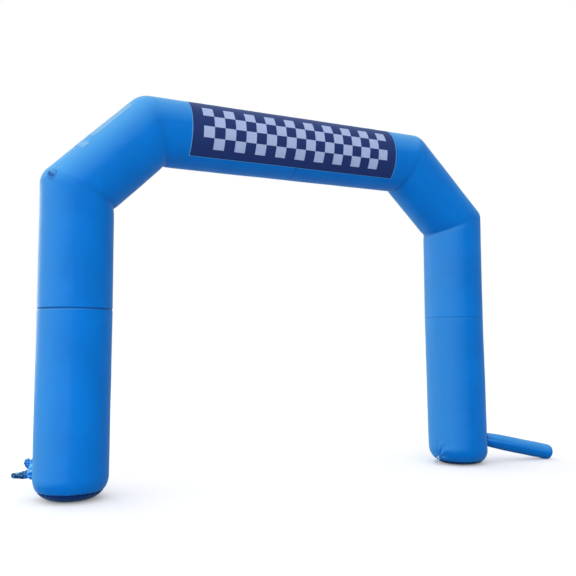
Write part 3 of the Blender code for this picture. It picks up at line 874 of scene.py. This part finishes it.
def sleeve_radius(reach):
    """The blower sleeve's radius: pinched at the leg, full, and rounded off at its tip."""
    radius = SLEEVE_RADIUS - 0.018 * math.exp(-max(0.0, reach - SLEEVE_WALL) / 0.12)
    rounded = min(1.0, max(0.0, (reach - SLEEVE_ROUNDS) / (SLEEVE_TIP - SLEEVE_ROUNDS)))
    return radius * (1.0 - rounded ** 2) ** 0.28


def sleeve_point(arch, reach, turn, radius):
    """A point on the blower sleeve, at a reach from the leg's axis and a turn round the sleeve."""
    foot, along, across = sleeve_frame(arch, RIGHT, SLEEVE_HEADING)
    tilt = math.atan(SLEEVE_SLOPE)
    upright = along * math.sin(tilt) + Vector((0.0, 0.0, math.cos(tilt)))
    point = foot + along * reach + Vector((0.0, 0.0, sleeve_height(reach)))
    point += across * (radius * math.cos(turn)) + upright * (radius * math.sin(turn))
    point.z = max(point.z, 0.0)
    return point


def make_blower_sleeve(context, arch):
    """The blown-up sleeve: pinched and pleated at its root, full towards its end."""
    def place(across, along):
        turn = 2.0 * math.pi * across
        reach = SLEEVE_START + (SLEEVE_SEAM - SLEEVE_START) * along
        from_root = max(0.0, reach - SLEEVE_WALL)
        radius = sleeve_radius(reach)
        pleat = noise.noise(ring(turn, 3.0, 2.0 * reach))
        radius -= 0.007 * max(0.0, 0.2 + pleat) * math.exp(-from_root / 0.16)
        radius += 0.0022 * noise.noise(ring(turn, 1.0, 4.5 * reach) * 1.6)
        ridge = math.atan2(math.sin(turn - SLEEVE_CREASE), math.cos(turn - SLEEVE_CREASE))
        radius += 0.0035 * falloff(ridge, 0.22)
        end_seam = falloff(SLEEVE_SEAM - reach, 0.005)
        radius -= 0.003 * end_seam
        # Painted shade: darker at the end seam, where the sleeve goes into the leg, and on its underside
        underside_shade = max(0.0, -math.sin(turn)) ** 2
        dark = max(0.6 * end_seam, 0.8 * falloff(from_root, 0.012), 0.35 * underside_shade)
        return sleeve_point(arch, reach, turn, radius), (turn * 0.10, reach), dark

    shape = rolled_sheet(72, 150, 0.8, place, closed=True)
    foot, along, _ = sleeve_frame(arch, RIGHT, SLEEVE_HEADING)

    def outward(centre):
        reach = (centre - foot).dot(along)
        return centre - foot - along * reach - Vector((0.0, 0.0, sleeve_height(reach)))

    turn_outward(shape, outward)
    finish_piece(context, shape, "blower_sleeve_skin", "blue_cloth", ["blower_sleeve"])

    first_swell = math.asin((SLEEVE_SEAM - SLEEVE_ROUNDS) / (SLEEVE_TIP - SLEEVE_ROUNDS))
    seam_radius = sleeve_radius(SLEEVE_SEAM)

    def place_end(across, along):
        turn = 2.0 * math.pi * across
        swell = first_swell + (0.5 * math.pi - first_swell) * along
        reach = SLEEVE_ROUNDS + (SLEEVE_TIP - SLEEVE_ROUNDS) * math.sin(swell)
        radius = SLEEVE_RADIUS * math.cos(swell) ** 0.56
        inward = seam_radius - radius
        pleat = max(0.0, noise.noise(ring(turn, 4.0, 3.0)))
        reach -= 0.004 * pleat * math.exp(-inward / 0.02)
        end_seam = falloff(inward, 0.004)
        radius = max(0.0, radius - 0.003 * end_seam)
        return sleeve_point(arch, reach, turn, radius), (turn * 0.10, inward), 0.6 * end_seam

    shape = rolled_sheet(72, 28, 0.5, place_end, closed=True)
    turn_outward(shape, lambda centre: along)
    end = finish_piece(context, shape, "blower_sleeve_end_skin", "blue_cloth", ["blower_sleeve_end"])


def copy_of_node(name):
    """A bmesh of a CAD node's own shape, with its loose triangles joined."""
    shape = bmesh.new()
    shape.from_mesh(bpy.data.objects[name].data)
    bmesh.ops.remove_doubles(shape, verts=shape.verts, dist=MERGE_DISTANCE)
    return shape


def applied(context, shape, modifiers):
    """A bmesh after modifiers, each given as its kind and its settings, have been applied to it."""
    mesh = bpy.data.meshes.new("applied")
    shape.to_mesh(mesh)
    shape.free()
    helper = bpy.data.objects.new("applied", mesh)
    context.scene.collection.objects.link(helper)
    for kind, settings in modifiers:
        modifier = helper.modifiers.new(kind, kind)
        for name, value in settings.items():
            setattr(modifier, name, value)
    graph = context.evaluated_depsgraph_get()
    result = bmesh.new()
    result.from_object(helper, graph)
    bpy.data.objects.remove(helper)
    return result


def make_tied_sleeve(context, arch):
    """The gathered sleeve: its CAD shape, drawn into soft folds and creases."""
    shape = applied(context, copy_of_node("tied_sleeve"), (
        ("REMESH", {"mode": "VOXEL", "voxel_size": 0.0028}),
        ("SMOOTH", {"factor": 0.5, "iterations": 6}),
    ))
    foot, along, across = sleeve_frame(arch, LEFT, TIED_HEADING)
    shape.normal_update()
    dark_layer = shape.verts.layers.float.new("seam_dark")
    moves = {}
    for vert in shape.verts:
        away = vert.co - foot
        reach = away.dot(along)

        # Fine streaks run to the tied neck, and the cloth farther off is crumpled
        pull = math.exp(-abs(reach - TIED_NECK) / 0.08)
        streak = noise.noise(Vector((reach * 9.0, away.dot(across) * 60.0, away.z * 60.0)))
        crumple = abs(noise.noise(vert.co * 38.0)) + 0.5 * abs(noise.noise(vert.co * 80.0))
        deep = 0.0045 * pull * streak - 0.0065 * (1.0 - pull) * (0.35 - crumple)
        deep *= smooth_between(reach, 0.400, 0.415)
        moves[vert] = vert.normal * deep

        # Painted shade in the tied neck, in the folds' hollows and in the open tip; the slack end is
        # darkened in blotches
        neck = falloff(reach - TIED_NECK, 0.010)
        arm = smooth_between(reach, TIED_NECK + 0.008, TIED_NECK + 0.022)
        blotch = smooth_between(noise.noise(vert.co * 55.0), -0.35, 0.25)
        tip = smooth_between(reach + 0.6 * (vert.co.z - 0.26), 0.590, 0.606)
        fold = max(0.0, 0.30 - crumple)
        vert[dark_layer] = max(0.6 * neck, arm * (0.25 + 0.70 * blotch), tip, fold)

        # The root goes into the leg's skin, and the upright folds are widened and pressed down
        if reach < TIED_ROOT:
            moves[vert] -= along * 0.012
        ear = smooth_between(vert.co.z, 0.33, 0.40)
        moves[vert] += along * (0.22 * ear * (reach - EAR_REACH))
        moves[vert].z -= 0.30 * max(0.0, vert.co.z - EAR_TOP)
    for vert, move in moves.items():
        vert.co += move
    sleeve = finish_piece(context, shape, "tied_sleeve_cloth", "blue_cloth", ["tied_sleeve"])
    sleeve.data.materials[0] = bpy.data.materials["Soiled ripstop nylon"]


def make_tie(context, arch):
    """The tape round the gathered sleeve, its edges softened and its free ends blown back."""
    shape = applied(context, copy_of_node("sleeve_tie"), (
        ("BEVEL", {"width": 0.0007, "segments": 2, "limit_method": "ANGLE"}),
    ))
    foot, _, across = sleeve_frame(arch, LEFT, TIED_HEADING)
    for vert in shape.verts:
        behind = -(vert.co - foot).dot(across)
        below = max(0.0, 0.245 - vert.co.z) * smooth_between(behind, 0.034, 0.042)
        vert.co += Vector((0.0, 0.0, 0.75 * below)) - across * (0.66 * below)
    finish_piece(context, shape, "sleeve_tie_tape", "blue_webbing", ["sleeve_tie"])


class ARCH_OT_sleeves(bpy.types.Operator):
    """Make the blower sleeve, the gathered spare sleeve and its tie"""

    bl_idname = "arch.sleeves"
    bl_label = "Sleeves"

    def execute(self, context):
        arch = ArchShape(context.scene.arch_sizes)
        make_blower_sleeve(context, arch)
        make_tied_sleeve(context, arch)
        make_tie(context, arch)
        return {"FINISHED"}


def guy_point(arch, side, along, across, lift):
    """A point over a guy patch, by its distances along and across the strap, and its normal.

    The right one is at the back and mirrors the left one.
    """
    bend = arch.bends(side)[0]
    radius = arch.sizes.tube_radius
    round_tube = along * math.cos(GUY_TILT) - across * math.sin(GUY_TILT)
    down_tube = along * math.sin(GUY_TILT) + across * math.cos(GUY_TILT)
    turn = GUY_TURN + round_tube / radius
    arc = arch.bend_rounding(bend, turn) * (bend.after - bend.before)
    part = 0.5 - down_tube / arc
    curved = min(max(part, 0.0), 1.0)
    heading = bend.before + curved * (bend.after - bend.before)
    along_tube = Vector((-side.sign * math.sin(heading), 0.0, math.cos(heading)))
    point = arch.bend_point(side, bend, turn, curved) + along_tube * ((part - curved) * arc)
    normal = arch.normal(side, heading, turn)
    if side is RIGHT:
        point.y = 2.0 * ARCH_MIDDLE.y - point.y
        normal.y = -normal.y
    return point + normal * (lift + arch.unevenness(point)), normal


def make_guy_point(context, arch, side, ends):
    """A round patch over the shoulder's lower seam, and its slack strap."""
    def place_patch(across, along):
        spot = ring(2.0 * math.pi * across, GUY_PATCH * along, 0.0)
        lift = 0.0012 + 0.0008 * noise.noise(spot * 60.0)
        point, _ = guy_point(arch, side, spot.x, spot.y, lift)
        return point, spot.xy, 0.12 + 0.45 * falloff(GUY_PATCH * (1.0 - along), 0.004)

    shape = rolled_sheet(64, 20, 0.0, place_patch, closed=True)
    _, normal = guy_point(arch, side, 0.0, 0.0, 0.0)
    turn_outward(shape, lambda centre: normal)
    patch = finish_piece(context, shape, f"guy_patch_{side.name}_{ends}_cloth", "blue_cloth",
                         [f"guy_patch_{side.name}_{ends}"])
    thicken(patch, 0.0012, 1.0)

    half_length = GUY_SPAN / 2.0 + GUY_FOOT

    def place_strap(across, along):
        distance = half_length * (2.0 * along - 1.0)
        arched = max(0.0, math.cos(math.pi * distance / (GUY_SPAN + GUY_FOOT)))
        width = GUY_WIDTH * (across - 0.5)
        droop = GUY_DROOP * arched + width
        lift = 0.0030 + GUY_RISE * arched - 0.10 * abs(width) * arched
        point, _ = guy_point(arch, side, distance, droop, lift)
        return point, (width, distance), 0.0

    shape = rolled_sheet(8, 48, 0.0, place_strap)
    turn_outward(shape, lambda centre: normal)
    strap = finish_piece(context, shape, f"guy_loop_{side.name}_{ends}_strap", "blue_webbing",
                         [f"guy_loop_{side.name}_{ends}"])
    thicken(strap, 0.002, 0.0)


def thicken(piece, thickness, offset):
    """Give a piece the thickness of its cloth or webbing, with a slightly rounded edge."""
    solid = piece.modifiers.new("thickness", "SOLIDIFY")
    solid.thickness = thickness
    solid.offset = offset
    bevel = piece.modifiers.new("edge", "BEVEL")
    bevel.width = 0.3 * thickness
    bevel.segments = 2
    bevel.limit_method = "ANGLE"
    bevel.angle_limit = math.radians(60.0)


def curve_point(points, share):
    """A point on a smooth curve through a row of points, by Catmull and Rom's rule."""
    padded = [2 * points[0] - points[1]] + list(points) + [2 * points[-1] - points[-2]]
    place = share * (len(points) - 1)
    index = min(int(place), len(points) - 2)
    part = place - index
    before, start, end, beyond = padded[index:index + 4]
    return 0.5 * (
        2 * start + (end - before) * part
        + (2 * before - 5 * start + 4 * end - beyond) * part ** 2
        + (3 * start - before - 3 * end + beyond) * part ** 3
    )


def make_stake_loop(context, arch, side):
    """The folded strap on the inner side of one leg, just above its base seam."""
    inward = Vector((-side.sign * math.cos(STAKE_TURN), -side.sign * math.sin(STAKE_TURN), 0.0))
    widthways = Vector((-inward.y, inward.x, 0.0))
    points = [
        arch.leg_point(side, 0.0, step.height, 0.0) + inward * (arch.sizes.tube_radius + step.out)
        for step in STAKE_PATH
    ]

    def place(across, along):
        width = STAKE_WIDTH * (across - 0.5)
        return curve_point(points, along) + widthways * width, (width, 0.3 * along), 0.0

    shape = rolled_sheet(8, 72, 0.0, place)
    strap = finish_piece(context, shape, f"stake_loop_{side.name}_strap", "pale_webbing",
                         [f"stake_loop_{side.name}"])
    thicken(strap, 0.002, 0.0)


def make_tape(context, arch, tape):
    """One strip of hook and loop tape on the left shoulder."""
    lower, _ = arch.bends(LEFT)
    heading = lower.after
    radius = arch.sizes.tube_radius
    run = Vector((-LEFT.sign * math.sin(heading), 0.0, math.cos(heading)))
    foot = arch.place(LEFT, lower.outward, 0.0, lower.height)

    def place(across, along):
        turn = tape.turn_from + (tape.turn_to - tape.turn_from) * across
        distance = tape.start + (tape.end - tape.start) * along
        normal = arch.normal(LEFT, heading, turn)
        bare = foot + run * distance + normal * radius
        lift = 0.0008 + arch.unevenness(bare)
        from_end = (tape.end - tape.start) * min(along, 1.0 - along)
        from_side = (tape.turn_to - tape.turn_from) * radius * min(across, 1.0 - across)
        wear = 0.20 + 0.34 * math.exp(-from_end / 0.035) + 0.16 * math.exp(-from_side / 0.014)
        return bare + normal * lift, (turn * radius, distance), wear

    shape = rolled_sheet(12, max(6, int((tape.end - tape.start) / 0.012)), 0.0, place)
    turn_outward(shape, lambda centre: arch.normal(LEFT, heading, tape.turn_from))
    piece = finish_piece(context, shape, f"{tape.name}_strip", "pale_tape", [tape.name])
    thicken(piece, 0.0015, 1.0)


class ARCH_OT_straps(bpy.types.Operator):
    """Make the guy points, the stake loop and the hook and loop tape"""

    bl_idname = "arch.straps"
    bl_label = "Straps and tape"

    def execute(self, context):
        arch = ArchShape(context.scene.arch_sizes)
        make_guy_point(context, arch, LEFT, "front")
        make_guy_point(context, arch, RIGHT, "back")
        make_stake_loop(context, arch, RIGHT)
        for tape in TAPES:
            make_tape(context, arch, tape)
        return {"FINISHED"}


class ARCH_OT_stage(bpy.types.Operator):
    """Make the floor, the light and the camera"""

    bl_idname = "arch.stage"
    bl_label = "Stage"

    def execute(self, context):
        scene = context.scene
        floor_shape = bmesh.new()
        bmesh.ops.create_grid(floor_shape, x_segments=1, y_segments=1, size=60.0)
        bmesh.ops.translate(floor_shape, vec=(0.0, 0.0, -0.001), verts=floor_shape.verts)
        mesh = bpy.data.meshes.new("floor")
        floor_shape.to_mesh(mesh)
        floor_shape.free()
        floor = bpy.data.objects.new("floor", mesh)
        scene.collection.objects.link(floor)
        mesh.materials.append(pale_floor(scene.arch_colours.floor))
        scene.world = soft_sky()

        for name, place, size, power in (
            ("window", (-5.0, -17.0, 10.0), 9.0, 400.0),
            ("back left", (-9.0, 16.0, 4.0), 6.0, 440.0),
            ("low fill", (-5.6, -5.4, 0.1), 2.2, 112.0),
        ):
            light = bpy.data.lights.new(name, "AREA")
            light.size = size
            light.energy = power
            lamp = bpy.data.objects.new(name, light)
            scene.collection.objects.link(lamp)
            lamp.location = place
            aim = Vector((-1.0, 0.0, 1.6)) - lamp.location
            lamp.rotation_euler = aim.to_track_quat("-Z", "Y").to_euler()

        camera_data = bpy.data.cameras.new("camera")
        camera_data.sensor_width = SENSOR
        camera_data.lens = SENSOR * FOCAL_PIXELS / FRAME_SIZE
        camera = bpy.data.objects.new("camera", camera_data)
        scene.collection.objects.link(camera)
        ahead = Vector((math.sin(EYE_YAW), math.cos(EYE_YAW), 0.0)) * math.cos(EYE_PITCH)
        ahead.z = math.sin(EYE_PITCH)
        level = Vector((math.cos(EYE_YAW), -math.sin(EYE_YAW), 0.0))
        upright = level.cross(ahead)
        rolled = level * math.cos(EYE_ROLL) + upright * math.sin(EYE_ROLL)
        up = upright * math.cos(EYE_ROLL) - level * math.sin(EYE_ROLL)
        turned = Matrix((rolled, up, -ahead)).transposed().to_4x4()
        camera.matrix_world = Matrix.Translation(ARCH_MIDDLE + EYE_FROM_MIDDLE) @ turned
        scene.camera = camera
        scene.view_settings.view_transform = "Standard"
        return {"FINISHED"}


class ARCH_PT_panel(bpy.types.Panel):
    """Sizes, colours and operators of the arch"""

    bl_idname = "ARCH_PT_panel"
    bl_label = "Inflatable arch"
    bl_space_type = "VIEW_3D"
    bl_region_type = "UI"
    bl_category = "Arch"

    def draw(self, context):
        for group in (context.scene.arch_sizes, context.scene.arch_colours):
            for name in group.__annotations__:
                self.layout.prop(group, name)
        for operator in OPERATORS:
            self.layout.operator(operator.bl_idname)


OPERATORS = (ARCH_OT_tubes, ARCH_OT_banner, ARCH_OT_sleeves, ARCH_OT_straps, ARCH_OT_stage)
CLASSES = (ArchSizes, ArchColours, *OPERATORS, ARCH_PT_panel)


def register():
    """Register the classes, and give the scene its sizes and colours."""
    for item in CLASSES:
        bpy.utils.register_class(item)
    bpy.types.Scene.arch_sizes = bpy.props.PointerProperty(type=ArchSizes)
    bpy.types.Scene.arch_colours = bpy.props.PointerProperty(type=ArchColours)


def unregister():
    """Take the properties and the classes away again."""
    del bpy.types.Scene.arch_colours
    del bpy.types.Scene.arch_sizes
    for item in reversed(CLASSES):
        bpy.utils.unregister_class(item)


def main():
    """Build every piece and the stage."""
    register()
    bpy.ops.arch.tubes()
    bpy.ops.arch.banner()
    bpy.ops.arch.sleeves()
    bpy.ops.arch.straps()
    bpy.ops.arch.stage()


if __name__ == "__main__":
    main()
